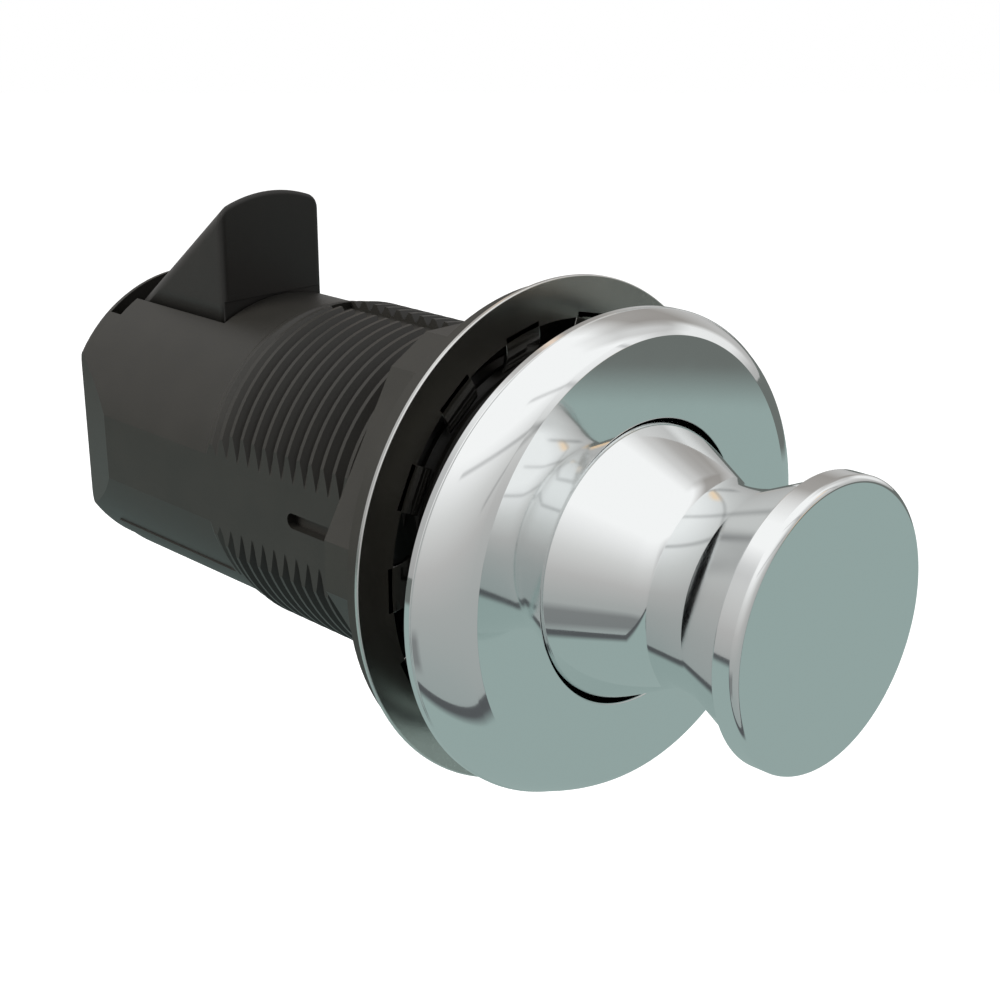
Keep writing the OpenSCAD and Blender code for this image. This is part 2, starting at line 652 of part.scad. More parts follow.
// Bolt: upright front, domed ramp at the back, legs beside the spindle and guide wings
module bolt() {
    half = bolt_w / 2;
    ramp_y = bolt_at + bolt_land;
    color([0.17, 0.17, 0.16]) difference() {
        union() {
            intersection() {
                along_x(bolt_x - half, bolt_x + half) polygon([[bolt_at, bolt_low], [bolt_back, bolt_low],
                    [bolt_back, bolt_top - (bolt_back - ramp_y) * tan(bolt_slope)], [ramp_y, bolt_top],
                    [bolt_at, bolt_top]]);
                translate([bolt_x, ramp_y, bolt_top]) rotate([-bolt_slope, 0, 0])
                    translate([0, 2 * bolt_top, 0]) rotate([90, 0, 0])
                        linear_extrude(3 * bolt_top) domed_section();
                translate([bolt_x - half, bolt_at, bolt_low - cut]) linear_extrude(2 * bolt_top)
                    round_rect(bolt_w, bolt_back - bolt_at, bolt_edge_r);
            }
            translate([bolt_x - wing_w / 2, bolt_back - wing_t, wing_low])
                cube([wing_w, wing_t, wing_top - wing_low]);
        }
        translate([bolt_x - half - cut, bolt_at - cut, bolt_low - cut])
            cube([bolt_w + 2 * cut, bolt_relief + cut, strike_low - bolt_low + cut]);
        translate([-bolt_notch_half, bolt_at - cut, bolt_low - cut])
            cube([2 * bolt_notch_half, bolt_notch_y - bolt_at + cut, bolt_notch_top - bolt_low + cut]);
        translate([bolt_x - half - cut, pin_y, pin_z]) rotate([0, 90, 0])
            cylinder(r = pin_r, h = bolt_w + 2 * cut);
        translate([bolt_x, spring_y, bolt_low - cut]) cylinder(r = spring_pocket_r, h = spring_top - bolt_low + cut);
    }
}

// Cross pin through the bolt's legs, with its ends in the windows of the slide
module bolt_pin() {
    half = cheek_in + cheek_t + 3 * slack;
    color([0.6, 0.6, 0.6]) translate([bolt_x - half, pin_y, pin_z]) rotate([0, 90, 0])
        cylinder(r = pin_r, h = 2 * half);
}

// Spring that pushes the bolt up
module bolt_spring() {
    color([0.55, 0.55, 0.55]) translate([bolt_x, spring_y, seat_z])
        coil(spring_coil_r, bolt_wire_r, bolt_turns, spring_top - seat_z);
}

bezel();
panel_gasket();
bezel_seal();
bezel_clip();
barrel();
lower_cover();
clamp_nut();
spring_ring();
knob();
knob_seal();
catch_pin();
spindle();
spindle_nut();
spindle_clip();
knob_spring();
cam_slide();
catch_sleeve();
bolt();
bolt_pin();
bolt_spring();
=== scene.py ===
import math

import bmesh
import bpy
import numpy as np
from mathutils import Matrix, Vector


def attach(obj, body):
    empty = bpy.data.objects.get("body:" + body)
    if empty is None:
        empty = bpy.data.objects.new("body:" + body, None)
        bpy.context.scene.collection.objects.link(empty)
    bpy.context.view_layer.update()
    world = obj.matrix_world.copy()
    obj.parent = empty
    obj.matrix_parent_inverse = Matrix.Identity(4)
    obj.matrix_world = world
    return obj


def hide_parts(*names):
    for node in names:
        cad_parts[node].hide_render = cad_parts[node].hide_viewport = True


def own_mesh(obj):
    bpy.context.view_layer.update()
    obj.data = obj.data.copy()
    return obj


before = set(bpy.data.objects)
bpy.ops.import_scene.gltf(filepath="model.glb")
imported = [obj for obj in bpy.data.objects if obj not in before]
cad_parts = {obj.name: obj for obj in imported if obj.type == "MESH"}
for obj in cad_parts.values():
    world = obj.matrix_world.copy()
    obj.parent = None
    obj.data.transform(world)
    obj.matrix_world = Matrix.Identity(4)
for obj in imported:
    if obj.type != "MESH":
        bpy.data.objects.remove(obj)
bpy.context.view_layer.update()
MM = 0.001


# View of the latch from the front left and a little above, as the photograph has it.
# The part's frame: the latch axis is Y with the knob towards -Y, and the bolt points up.
CAMERA_AT = Vector((-123.29, -109.26, 64.23)) * MM
CAMERA_AZIMUTH = math.radians(-44.47)
CAMERA_HEIGHT = math.radians(19.63)
CAMERA_LENS = 61.4
CAMERA_SENSOR = 36
CAMERA_CLIP = 5 * MM

camera_data = bpy.data.cameras.new("camera")
camera_data.lens = CAMERA_LENS
camera_data.sensor_width = CAMERA_SENSOR
camera_data.clip_start = CAMERA_CLIP
camera = bpy.data.objects.new("camera", camera_data)
bpy.context.scene.collection.objects.link(camera)
back = Vector((
    math.sin(CAMERA_AZIMUTH) * math.cos(CAMERA_HEIGHT),
    -math.cos(CAMERA_AZIMUTH) * math.cos(CAMERA_HEIGHT),
    math.sin(CAMERA_HEIGHT),
))
camera.location = CAMERA_AT
camera.rotation_mode = "QUATERNION"
camera.rotation_quaternion = (-back).to_track_quat("-Z", "Y")
bpy.context.scene.camera = camera
bpy.context.scene.view_settings.view_transform = "Standard"


# Studio: a white ceiling over pale grey walls, with soft joints between the ceiling's panels.
# It is what the chrome mirrors. Azimuth 0 is the knob's way and +90 the right hand, in degrees.
class Nodes:
    """A node tree with short calls for the nodes that the shaders here are made of."""

    def __init__(self, tree):
        self.tree = tree
        tree.nodes.clear()

    def put(self, socket, value):
        """Link a socket to another one, or set it to a constant."""
        if isinstance(value, bpy.types.NodeSocket):
            self.tree.links.new(value, socket)
        else:
            socket.default_value = value

    def add(self, kind, inputs=(), **settings):
        """A new node of that kind, with its settings made and its inputs linked or set."""
        node = self.tree.nodes.new(kind)
        for name, value in settings.items():
            setattr(node, name, value)
        for key, value in dict(inputs).items():
            self.put(node.inputs[key], value)
        return node

    def math(self, operation, a, b=0.0, c=0.0, clamp=False):
        """One arithmetic node on a, b and c."""
        inputs = {0: a, 1: b, 2: c}
        return self.add("ShaderNodeMath", inputs, operation=operation, use_clamp=clamp).outputs[0]

    def scaled(self, value, gain, base, clamp=False):
        """value times gain, plus base."""
        return self.math("MULTIPLY_ADD", value, gain, base, clamp)

    def dot(self, a, b):
        """The scalar product of two vectors."""
        return self.add("ShaderNodeVectorMath", {0: a, 1: b}, operation="DOT_PRODUCT").outputs["Value"]

    def length(self, a):
        """The length of a vector."""
        return self.add("ShaderNodeVectorMath", {0: a}, operation="LENGTH").outputs["Value"]

    def window(self, value, low, high, soft):
        """1 where value lies between low and high, fading over soft at both ends."""
        rise = self.scaled(value, 1 / soft, 0.5 - low / soft, clamp=True)
        fall = self.scaled(value, -1 / soft, 0.5 + high / soft, clamp=True)
        return self.math("MULTIPLY", rise, fall)

    def mix(self, factor, a, b):
        """Colour a turning to colour b as the factor goes from 0 to 1."""
        node = self.add("ShaderNodeMix", data_type="RGBA")
        for socket, value in ((0, factor), (6, a), (7, b)):
            self.put(node.inputs[socket], value)
        return node.outputs[2]

    def ramp(self, factor, stops):
        """Colours blended in a straight line between stops of place and colour."""
        node = self.add("ShaderNodeValToRGB", {"Fac": factor})
        elements = node.color_ramp.elements
        while len(elements) < len(stops):
            elements.new(0.5)
        for element, (at, colour) in zip(elements, stops):
            element.position = at
            element.color = colour
        return node.outputs[0]

    def noise(self, scale, detail=2.0, rough=0.5):
        """Cloudy noise from 0 to 1 over the object's own coordinates."""
        at = self.add("ShaderNodeTexCoord").outputs["Object"]
        inputs = {"Vector": at, "Scale": scale, "Detail": detail, "Roughness": rough}
        return self.add("ShaderNodeTexNoise", inputs).outputs["Fac"]

    def bump(self, height, strength, depth):
        """The surface's normal, tilted as a relief of that height and depth would tilt it."""
        inputs = {"Strength": strength, "Distance": depth, "Height": height}
        return self.add("ShaderNodeBump", inputs).outputs[0]

    def by_ray(self, shown, mirrored, lit):
        """shown for camera and transmission rays, mirrored for glossy rays, lit for all others."""
        rays = self.add("ShaderNodeLightPath").outputs
        straight = self.math("MAXIMUM", rays["Is Camera Ray"], rays["Is Transmission Ray"])
        bounced = self.add("ShaderNodeMixShader", {0: rays["Is Glossy Ray"], 1: lit, 2: mirrored})
        return self.add("ShaderNodeMixShader", {0: straight, 1: bounced.outputs[0], 2: shown}).outputs[0]


def srgb(text):
    """Linear RGBA of a colour written as six hex digits."""
    channels = [int(text[i : i + 2], 16) / 255 for i in (0, 2, 4)]
    linear = [c / 12.92 if c <= 0.04045 else ((c + 0.055) / 1.055) ** 2.4 for c in channels]
    return (*linear, 1.0)


# height of the look, as a share from straight down to straight up, and the grey there
WALL_STOPS = [(0.0, srgb("909c9a")), (0.27, srgb("9da5a4")), (0.40, srgb("a9acab")),
              (0.5, srgb("bab9b8")), (0.61, srgb("d6d6d5")), (0.70, srgb("f0f0f0")),
              (0.77, srgb("ffffff"))]
# duller and warmer parts of the room: azimuths, heights, softness, colour and strength
PATCHES = [(66, 110, 24, 62, 16, "a5a3a1", 0.5),
           (98, 176, 12, 50, 18, "8b8580", 0.8),
           (145, 153, 29, 40, 5, "ffe6d0", 0.8),
           (38, 49, 28, 35, 5, "ffe2c0", 0.9),
           (37, 46, -9, -2, 4, "ffdcb0", 0.9),
           (72, 100, 2, 26, 8, "ffffff", 0.7),
           (-190, -128, -32, 42, 16, "9c9c9c", 0.6),
           (-128, -70, -41, -25, 6, "6a6c6d", 0.7)]
# joints: the plane's normal, the middle of the stretch, how far it runs as a cosine, its darkness
SEAMS = [((0.532, 0.362, 0.765), (-0.143, -0.851, 0.504), 0.74, 0.42),
         ((0.762, 0.532, 0.369), (0.265, -0.777, 0.571), 0.82, 0.36),
         ((0.439, -0.218, -0.872), (0.273, -0.893, 0.358), 0.84, 0.34),
         ((-0.643, -0.766, 0.0), (0.686, -0.575, 0.446), 0.94, 0.42)]
SEAM_HALF_WIDTH, SEAM_FADE, SEAM_COLOUR = 0.042, 30.0, srgb("303236")
WHITE = (1, 1, 1, 1)
AMBIENT = 0.42

world = bpy.data.worlds.new("studio")
world.use_nodes = True
bpy.context.scene.world = world
w = Nodes(world.node_tree)
look = w.add("ShaderNodeTexCoord").outputs["Generated"]
parts = w.add("ShaderNodeSeparateXYZ", {0: look}).outputs
degree = 180 / math.pi
azimuth = w.math("MULTIPLY", w.math("ARCTAN2", parts[0], w.math("MULTIPLY", parts[1], -1.0)), degree)
climb = w.math("MULTIPLY", w.math("ARCSINE", parts[2]), degree)
wall = w.ramp(w.scaled(climb, 1 / 180, 0.5), WALL_STOPS)
for left, right, low, high, soft, colour, strength in PATCHES:
    inside = w.math("MULTIPLY", w.window(azimuth, left, right, soft), w.window(climb, low, high, soft))
    wall = w.mix(w.math("MULTIPLY", inside, strength), wall, srgb(colour))
for normal, middle, reach, darkness in SEAMS:
    off = w.math("ABSOLUTE", w.dot(look, normal))
    line = w.scaled(off, -1 / SEAM_HALF_WIDTH, 1.0, clamp=True)
    near = w.scaled(w.dot(look, middle), SEAM_FADE, -SEAM_FADE * reach, clamp=True)
    wall = w.mix(w.math("MULTIPLY", w.math("MULTIPLY", line, near), darkness), wall, SEAM_COLOUR)
seen = w.add("ShaderNodeBackground", {"Color": WHITE, "Strength": 1.0}).outputs[0]
mirrored = w.add("ShaderNodeBackground", {"Color": wall, "Strength": 1.0}).outputs[0]
ambient = w.add("ShaderNodeBackground", {"Color": wall, "Strength": AMBIENT}).outputs[0]
w.add("ShaderNodeOutputWorld", {"Surface": w.by_ray(seen, mirrored, ambient)})


# Floor: a pale grey-green table under the latch, with a strip of painted shade along its near edge.
# It reads white to the camera and keeps a faint shadow; the chrome mirrors its own colour.
FLOOR_Z = -85 * MM
FLOOR_NEAR = 0.93 * 85 * MM
FLOOR_FAR, FLOOR_SIDE = 1.2, 1.2
# The third colour is painted shade: the dark strip along the near edge, seen only in the chrome.
FLOOR_COLOUR, FAR_COLOUR, PAINTED_SHADE_COLOUR = srgb("98aaa7"), srgb("6c716e"), srgb("55585a")
STRIP_WIDE, STRIP_SOFT, STRIP_OUTSIDE = 14 * MM, 9 * MM, -1.0
DIM_FROM, DIM_TO = 360 * MM, 405 * MM
TABLE_COLOUR = srgb("9b9f9d")
FLOOR_GLOW, SHADOW_COLOUR = 0.86, (0.5, 0.5, 0.5, 1)

toward = Vector((back.x, back.y, 0)).normalized()
aside = Vector((-toward.y, toward.x, 0))
corners = []
for ahead, side in ((FLOOR_NEAR, -1), (FLOOR_NEAR, 1), (-FLOOR_FAR, 1), (-FLOOR_FAR, -1)):
    corners.append((toward * ahead + aside * side * FLOOR_SIDE)[:2] + (FLOOR_Z,))
floor_mesh = bpy.data.meshes.new("floor")
floor_mesh.from_pydata(corners, [], [(0, 1, 2, 3)])
floor = bpy.data.objects.new("floor", floor_mesh)
bpy.context.scene.collection.objects.link(floor)
floor_material = bpy.data.materials.new("pale table")
floor_material.use_nodes = True
f = Nodes(floor_material.node_tree)
where = f.add("ShaderNodeTexCoord").outputs["Object"]
to_edge = f.math("SUBTRACT", FLOOR_NEAR, f.dot(where, tuple(toward)))
# Painted shade: a dark band along the floor's near edge, shown only in the chrome's reflection.
painted_shade_strip = f.window(to_edge, STRIP_OUTSIDE, STRIP_WIDE, STRIP_SOFT)
dim = f.scaled(f.length(where), 1 / (DIM_TO - DIM_FROM), -DIM_FROM / (DIM_TO - DIM_FROM), clamp=True)
tone = f.mix(painted_shade_strip, f.mix(dim, FLOOR_COLOUR, FAR_COLOUR), PAINTED_SHADE_COLOUR)
glow = f.add("ShaderNodeEmission", {"Color": WHITE, "Strength": FLOOR_GLOW}).outputs[0]
shadow = f.add("ShaderNodeBsdfDiffuse", {"Color": SHADOW_COLOUR}).outputs[0]
shown = f.add("ShaderNodeAddShader", {0: glow, 1: shadow}).outputs[0]
mirrored = f.add("ShaderNodeEmission", {"Color": tone, "Strength": 1.0}).outputs[0]
table = f.add("ShaderNodeBsdfDiffuse", {"Color": TABLE_COLOUR}).outputs[0]
f.add("ShaderNodeOutputMaterial", {"Surface": f.by_ray(shown, mirrored, table)})
floor_mesh.materials.append(floor_material)


# Lamps: a large soft lamp above and to the left, a weak one from the right, one low behind.
# They draw the soft gleams on the black mouldings and stay out of the chrome.
LAMP_AIM = Vector((0, 0.02, 0))


def lamp(name, at, size, watts):
    """A square area lamp of that size in metres, at a place, turned to face the latch."""
    data = bpy.data.lights.new(name, "AREA")
    data.size = size
    data.energy = watts
    made = bpy.data.objects.new(name, data)
    bpy.context.scene.collection.objects.link(made)
    made.location = at
    made.rotation_mode = "QUATERNION"
    made.rotation_quaternion = (LAMP_AIM - Vector(at)).to_track_quat("-Z", "Y")
    made.visible_glossy = False


lamp("key lamp", (-0.5, 0.3, 0.4), 0.36, 5.4)
lamp("fill lamp", (0.5, -0.5, 0.3), 0.35, 0.5)
lamp("low lamp", (-0.5, 0.25, 0.05), 0.3, 0.8)


# Bezel: die-cast zinc, polished and chromed, pressed on its tube into the barrel.
# Flat face, bulging flank and a thin upright lip that catches the light.
def material(name, build):
    """A procedural material; build is given its nodes and returns the surface shader's output."""
    made = bpy.data.materials.new(name)
    made.use_nodes = True
    n = Nodes(made.node_tree)
    n.add("ShaderNodeOutputMaterial", {"Surface": build(n)})
    return made


def principled(n, colour, metallic, roughness, normal):
    """The Principled shader of a node tree with these values or sockets."""
    inputs = {"Base Color": colour, "Metallic": metallic, "Roughness": roughness, "Normal": normal}
    return n.add("ShaderNodeBsdfPrincipled", inputs).outputs[0]


def chrome(n):
    """Chrome plate: near-perfect mirror, with a polisher's faint haze that varies over the piece."""
    rough = n.scaled(n.noise(scale=320.0, detail=3.0), gain=0.05, base=0.035)
    relief = n.bump(n.noise(scale=2600.0), strength=0.02, depth=0.01 * MM)
    return principled(n, srgb("f2f4f4"), 1.0, rough, relief)


# The most of a side that one corner's arc may take, and how far off an arc's ends the points stand
# that keep the sides flat: in mm, and as a share of the arc's reach where that is less.
LONGEST_ARC = 0.45
HOLD, HOLD_SHARE = 0.03, 0.1


def softened(corners, turns=7):
    """A closed profile from (r, y, radius) corners: each corner becomes an arc of that radius, or of
    the largest one that leaves both sides some straight. The arc's centre lies on the bisector, at
    the radius over the sine of half the corner's angle. Points set close to both ends of an arc keep
    the straight stretches flat under smooth shading."""
    out = []
    for i, (r, y, radius) in enumerate(corners):
        here = np.array([r, y], float)
        if radius <= 0:
            out.append(here)
            continue
        before = np.array(corners[i - 1][:2], float) - here
        after = np.array(corners[(i + 1) % len(corners)][:2], float) - here
        back_by, on_by = np.linalg.norm(before), np.linalg.norm(after)
        u, v = before / back_by, after / on_by
        half = math.acos(np.clip(u @ v, -1, 1)) / 2
        reach = min(radius / math.tan(half), LONGEST_ARC * back_by, LONGEST_ARC * on_by)
        radius = reach * math.tan(half)
        middle = here + (u + v) / np.linalg.norm(u + v) * radius / math.sin(half)
        a, b = here + u * reach - middle, here + v * reach - middle
        hold = min(HOLD, reach * HOLD_SHARE)
        out.append(here + u * (reach + hold))
        sweep = math.atan2(a[0] * b[1] - a[1] * b[0], a @ b)
        for t in np.linspace(0, sweep, turns + 1):
            c, s = math.cos(t), math.sin(t)
            out.append(middle + np.array([a[0] * c - a[1] * s, a[0] * s + a[1] * c]))
        out.append(here + v * (reach + hold))
    return np.array(out)


def piece(name, verts, faces, stuff, body, slot, crease=34.0):
    """A mesh object from arrays of vertices in mm and of quads, smooth but for edges over crease."""
    verts = np.asarray(verts, np.float32).reshape(-1, 3) * MM
    faces = np.asarray(faces, np.int32)
    mesh = bpy.data.meshes.new(name)
    mesh.vertices.add(len(verts))
    mesh.vertices.foreach_set("co", verts.ravel())
    mesh.loops.add(faces.size)
    mesh.loops.foreach_set("vertex_index", faces.ravel())
    mesh.polygons.add(len(faces))
    mesh.polygons.foreach_set("loop_start", np.arange(len(faces), dtype=np.int32) * faces.shape[1])
    mesh.update(calc_edges=True)
    mesh.polygons.foreach_set("use_smooth", np.ones(len(faces), bool))
    mesh.set_sharp_from_angle(angle=math.radians(crease))
    mesh.materials.append(stuff)
    made = bpy.data.objects.new(name, mesh)
    bpy.context.scene.collection.objects.link(made)
    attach(made, body)
    return made


def wrap(rows, columns, closed_rows=True):
    """Quads of a rows x columns grid of vertices, joined round each row, and from the last row back
    to the first where the rows are closed."""
    i = np.arange(rows if closed_rows else rows - 1)[:, None]
    j = np.arange(columns)[None, :]
    i2, j2 = (i + 1) % rows, (j + 1) % columns
    quads = np.stack([i * columns + j, i * columns + j2, i2 * columns + j2, i2 * columns + j], -1)
    return quads.reshape(-1, 4)


def revolved(profile, steps, shaped=None):
    """Vertices and quads of a closed profile turned about the latch axis.
    Point (r, y) at angle t goes to (r sin t, y, r cos t); shaped(r, t) gives another radius there.
    The profile is turned so that normals point out."""
    p = np.asarray(profile, float)
    area = np.sum(p[:, 0] * np.roll(p[:, 1], -1) - np.roll(p[:, 0], -1) * p[:, 1])
    if area > 0:
        p = p[::-1]
    t = np.linspace(0, 2 * math.pi, steps, endpoint=False)[:, None]
    r = np.tile(p[:, 0], (steps, 1))
    if shaped is not None:
        r = shaped(r, t)
    grid = np.stack([np.sin(t) * r, np.tile(p[:, 1], (steps, 1)), np.cos(t) * r], -1)
    return grid, wrap(steps, len(p))


def arc(c, r, a0, a1, steps):
    """Points on the circle of radius r about c from angle a0 to a1, in degrees."""
    a = np.radians(np.linspace(a0, a1, steps + 1))
    return [(c[0] + r * x, c[1] + r * y) for x, y in zip(np.cos(a), np.sin(a))]


BEZEL_R, BEZEL_TALL, BEZEL_H, FACE_R, BULGE_R, LIP_H, LIP_IN = 28.5, 25.5, 4.5, 23.4, 8.0, 0.8, 0.2
HOLE_R, TUBE_R, TUBE_LEN = 15.0, 16.4, 8.0
POCKET_R, POCKET_Y = 22.6, -2.6
GROOVE_IN, GROOVE_OUT, GROOVE_Y = 24.15, 26.15, -1.2
CLIP_DEEP, CLIP_NEAR, CLIP_FAR = 0.65, 3.2, 4.2
BULGE_STEPS, CHROME_STEPS = 60, 400


def oval(r, t):
    """The face is round, but the foot of the flank is an oval, wider than it is high. Beyond the face
    a radius keeps its share of the way to the foot, whose radius at angle t is that of the ellipse."""
    foot = 1 / np.sqrt((np.sin(t) / BEZEL_R) ** 2 + (np.cos(t) / BEZEL_TALL) ** 2)
    share = (r - FACE_R) / (BEZEL_R - FACE_R)
    return np.where(share > 0, FACE_R + share * (foot - FACE_R), r)


chromed = material("chrome", chrome)
# The flank is an arc from the face's edge to the lip. Its ends give way to the roundings there.
p, q = np.array([FACE_R, -BEZEL_H]), np.array([BEZEL_R - LIP_IN, -LIP_H])
d = q - p
mid = (p + q) / 2 + math.sqrt(BULGE_R**2 - d @ d / 4) * np.array([-d[1], d[0]]) / np.linalg.norm(d)
start = math.degrees(math.atan2(*(p - mid)[::-1]))
stop = math.degrees(math.atan2(*(q - mid)[::-1]))
bulge = arc(mid, BULGE_R, start, stop, BULGE_STEPS)
# The corners below give radius, depth and rounding.
face_edge = softened([(HOLE_R, -BEZEL_H + 1, 0), (HOLE_R, -BEZEL_H, 0.16), (FACE_R, -BEZEL_H, 0.18),
                      (*bulge[8], 0)])[1:-1]
lip = softened([(*bulge[-2], 0), (*bulge[-1], 0.12), (BEZEL_R, -LIP_H, 0.09), (BEZEL_R, 0, 0.08),
                (GROOVE_OUT, 0, 0)])[1:-1]
rear = softened([(GROOVE_OUT, 0, 0.05), (GROOVE_OUT, GROOVE_Y, 0), (GROOVE_IN, GROOVE_Y, 0),
                 (GROOVE_IN, 0, 0.05), (POCKET_R, 0, 0.05), (POCKET_R, POCKET_Y, 0.2),
                 (TUBE_R, POCKET_Y, 0.2), (TUBE_R, CLIP_NEAR, 0), (TUBE_R - CLIP_DEEP, CLIP_NEAR, 0),
                 (TUBE_R - CLIP_DEEP, CLIP_FAR, 0), (TUBE_R, CLIP_FAR, 0), (TUBE_R, TUBE_LEN, 0.15),
                 (HOLE_R, TUBE_LEN, 0.15)])
profile = np.vstack([face_edge, np.array(bulge[9:-2]), lip, rear])
bezel = piece("bezel_cast", *revolved(profile, CHROME_STEPS, oval), chromed, "housing", "chrome")
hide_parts("bezel")


# Knob: brass, turned and chromed in one piece. Base in the hole, cone, waist and flat head.
# A hollow in its back takes the spring, a groove the rubber ring, and a small hole the catch pin.
# The head's and the base's roundings replace the first points of the flare and the last of the neck.
HEAD_R, HEAD_Y, RIM_Y = 14.6, -27.7, -25.0
NECK_R, WAIST_Y, NECK_CURVE, FLARE_R = 10.44, -14.0, 5.4, 14.0
CONE, FLARE = 26.2, 23.5
BASE_R, BASE_Y, CUP_R, CUP_Y, ROD_R = 14.7, 8.0, 9.5, -3.0, 2.5
SEAL_Y, SEAL_R, SEAL_DEEP = 4.1, 1.1, 12.94
AXIS_R = 0.02

flare = arc((NECK_R + FLARE_R, WAIST_Y), FLARE_R, 180 + FLARE, 180, steps=40)
neck = arc((NECK_R + NECK_CURVE, WAIST_Y), NECK_CURVE, 180, 180 - CONE, steps=30)[1:]
flare_r = flare[0][0] + (flare[0][1] - RIM_Y) * math.tan(math.radians(FLARE))
seal_near, seal_far = SEAL_Y - SEAL_R, SEAL_Y + SEAL_R
cone_y = neck[-1][1] + (BASE_R - neck[-1][0]) / math.tan(math.radians(CONE))
head = softened([(AXIS_R, HEAD_Y, 0), (HEAD_R, HEAD_Y, 0.7), (HEAD_R, RIM_Y, 0.16),
                 (flare_r, RIM_Y, 0.22), (*flare[4], 0)], turns=12)
base = softened([(*neck[-2], 0), (BASE_R, cone_y, 0.5), (BASE_R, seal_near, 0.06),
                 (SEAL_DEEP, seal_near, 0), (SEAL_DEEP, seal_far, 0), (BASE_R, seal_far, 0.06),
                 (BASE_R, BASE_Y, 0.5), (CUP_R, BASE_Y, 0.1), (CUP_R, CUP_Y, 0.3), (ROD_R, CUP_Y, 0),
                 (ROD_R, WAIST_Y, 0), (AXIS_R, WAIST_Y, 0)])
profile = np.vstack([head[:-1], np.array(flare[5:]), np.array(neck), base[1:]])
knob = piece("knob_turned", *revolved(profile, CHROME_STEPS), chromed, "knob", "knob_chrome")
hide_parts("knob")


# Gasket: a rubber ring in the groove under the bezel's lip, pressed against the panel's front.
# It follows the lip, so it is an oval too.
def moulding(base, light, rough, grain=0.35):
    """A satin moulding: base and light tone mixed by soft clouds, with a fine even grain."""

    def build(n):
        cloud = n.noise(scale=180.0, detail=4.0, rough=0.6)
        grit = n.noise(scale=7000.0)
        tone = n.mix(n.scaled(cloud, gain=0.8, base=-0.1, clamp=True), srgb(base), srgb(light))
        dull = n.scaled(n.math("ADD", cloud, grit), gain=0.08, base=rough - 0.08)
        return principled(n, tone, 0.0, dull, n.bump(grit, strength=grain, depth=0.03 * MM))

    return build


GASKET_EDGE, GASKET_STEPS = 0.15, 240

section = softened([(GROOVE_IN, GROOVE_Y, 0.05), (GROOVE_OUT, GROOVE_Y, 0.05),
                    (GROOVE_OUT, 0, GASKET_EDGE), (GROOVE_IN, 0, GASKET_EDGE)], turns=3)
rubber = material("gasket rubber", moulding("1b1b1b", "242424", 0.7, grain=0.5))
gasket = piece("gasket_ring", *revolved(section, GASKET_STEPS, oval), rubber, "housing", "rubber")
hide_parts("panel_gasket")


# Spring ring: stamped spring steel under the nut's flange, dark with a bright cut edge.
# Fourteen fingers bend in and back towards the barrel. The nut clamps it behind the panel.
RING_Y, RING_T, RING_R, ROOT_R, ROOT_IN = 7.8, 0.5, 27.5, 23.1, 0.05
EDGE, CUT_EDGE = 0.12, 0.16
FINGERS, FINGER_ANGLE, FINGER_FLARE, FINGER_END = 14, 12.0, 2.0, 0.86
BEND_R, BEND, BEND_FLAT, BEND_STEPS = 5.2, 38.0, 0.6, 28
FINGER_POLISH = 0.4
RING_STEPS = 360


def dark_sheet(n):
    """Dark spring steel with a fine light speckle, and a bright edge where it was cut."""
    at = n.add("ShaderNodeTexCoord").outputs["Object"]
    xyz = n.add("ShaderNodeSeparateXYZ", {0: at}).outputs
    radius = n.length(n.add("ShaderNodeCombineXYZ", {0: xyz[0], 2: xyz[2]}).outputs[0])
    speck = n.noise(scale=5200.0, detail=1.0)
    bright = n.scaled(speck, gain=9.0, base=-5.4, clamp=True)
    body = n.mix(n.math("MULTIPLY", bright, 0.55), srgb("c6c5c1"), srgb("e6e5e2"))
    cut = n.math("GREATER_THAN", radius, (RING_R - CUT_EDGE) * MM)
    colour = n.mix(cut, body, srgb("e6e6e4"))
    sheet_rough = n.scaled(n.noise(scale=260.0, detail=3.0), gain=0.1, base=0.17)
    on_finger = n.math("LESS_THAN", radius, ROOT_R * MM)
    rough = n.math("MULTIPLY", sheet_rough, n.scaled(on_finger, gain=-FINGER_POLISH, base=1.0))
    return principled(n, colour, 1.0, rough, n.bump(speck, strength=0.25, depth=0.02 * MM))


def finger(middle):
    """One finger: a rounded-oblong section carried along the bend. Stations run from the flat ring
    round the arc; across the section, width follows the angle and thickness the bend's normal,
    which at bend angle b is (sin b, cos b) in radius and depth."""
    s = np.linspace(-BEND_FLAT, math.radians(BEND), BEND_STEPS)
    bent = np.maximum(s, 0)
    r = ROOT_R - BEND_R * np.sin(bent) - np.minimum(s, 0)
    y = RING_Y + RING_T / 2 + BEND_R * (1 - np.cos(bent))
    half_w = np.radians(FINGER_ANGLE + FINGER_FLARE * bent / math.radians(BEND)) / 2 * r
    corner = np.radians(np.linspace(0, 90, 5))
    loop = []
    for turn, (sw, st) in enumerate(((1, 1), (-1, 1), (-1, -1), (1, -1))):
        c = corner + turn * math.pi / 2
        loop += [(sw, st, EDGE * math.cos(x), EDGE * math.sin(x)) for x in c]
    sw, st, cw, ct = np.array(loop).T
    across = sw[None] * (half_w[:, None] - EDGE) + cw[None]
    thick = st * (RING_T / 2 - EDGE) + ct
    radius = r[:, None] + thick[None] * np.sin(bent)[:, None]
    depth = y[:, None] + thick[None] * np.cos(bent)[:, None]
    angle = math.radians(middle) + across / r[:, None]
    grid = np.stack([radius * np.cos(angle), depth, radius * np.sin(angle)], -1)
    tip = grid[-1].mean(0)
    shrunk = tip + (grid[-1] - tip) * FINGER_END
    return np.concatenate([grid, shrunk[None]], 0)


def lid(columns):
    """Quads across a closed row of an even number of vertices: each joins two neighbours to the two
    that face them, counted from the row's other end."""
    i = np.arange(columns // 2 - 1)
    return np.stack([i, i + 1, columns - 2 - i, columns - 1 - i], -1)


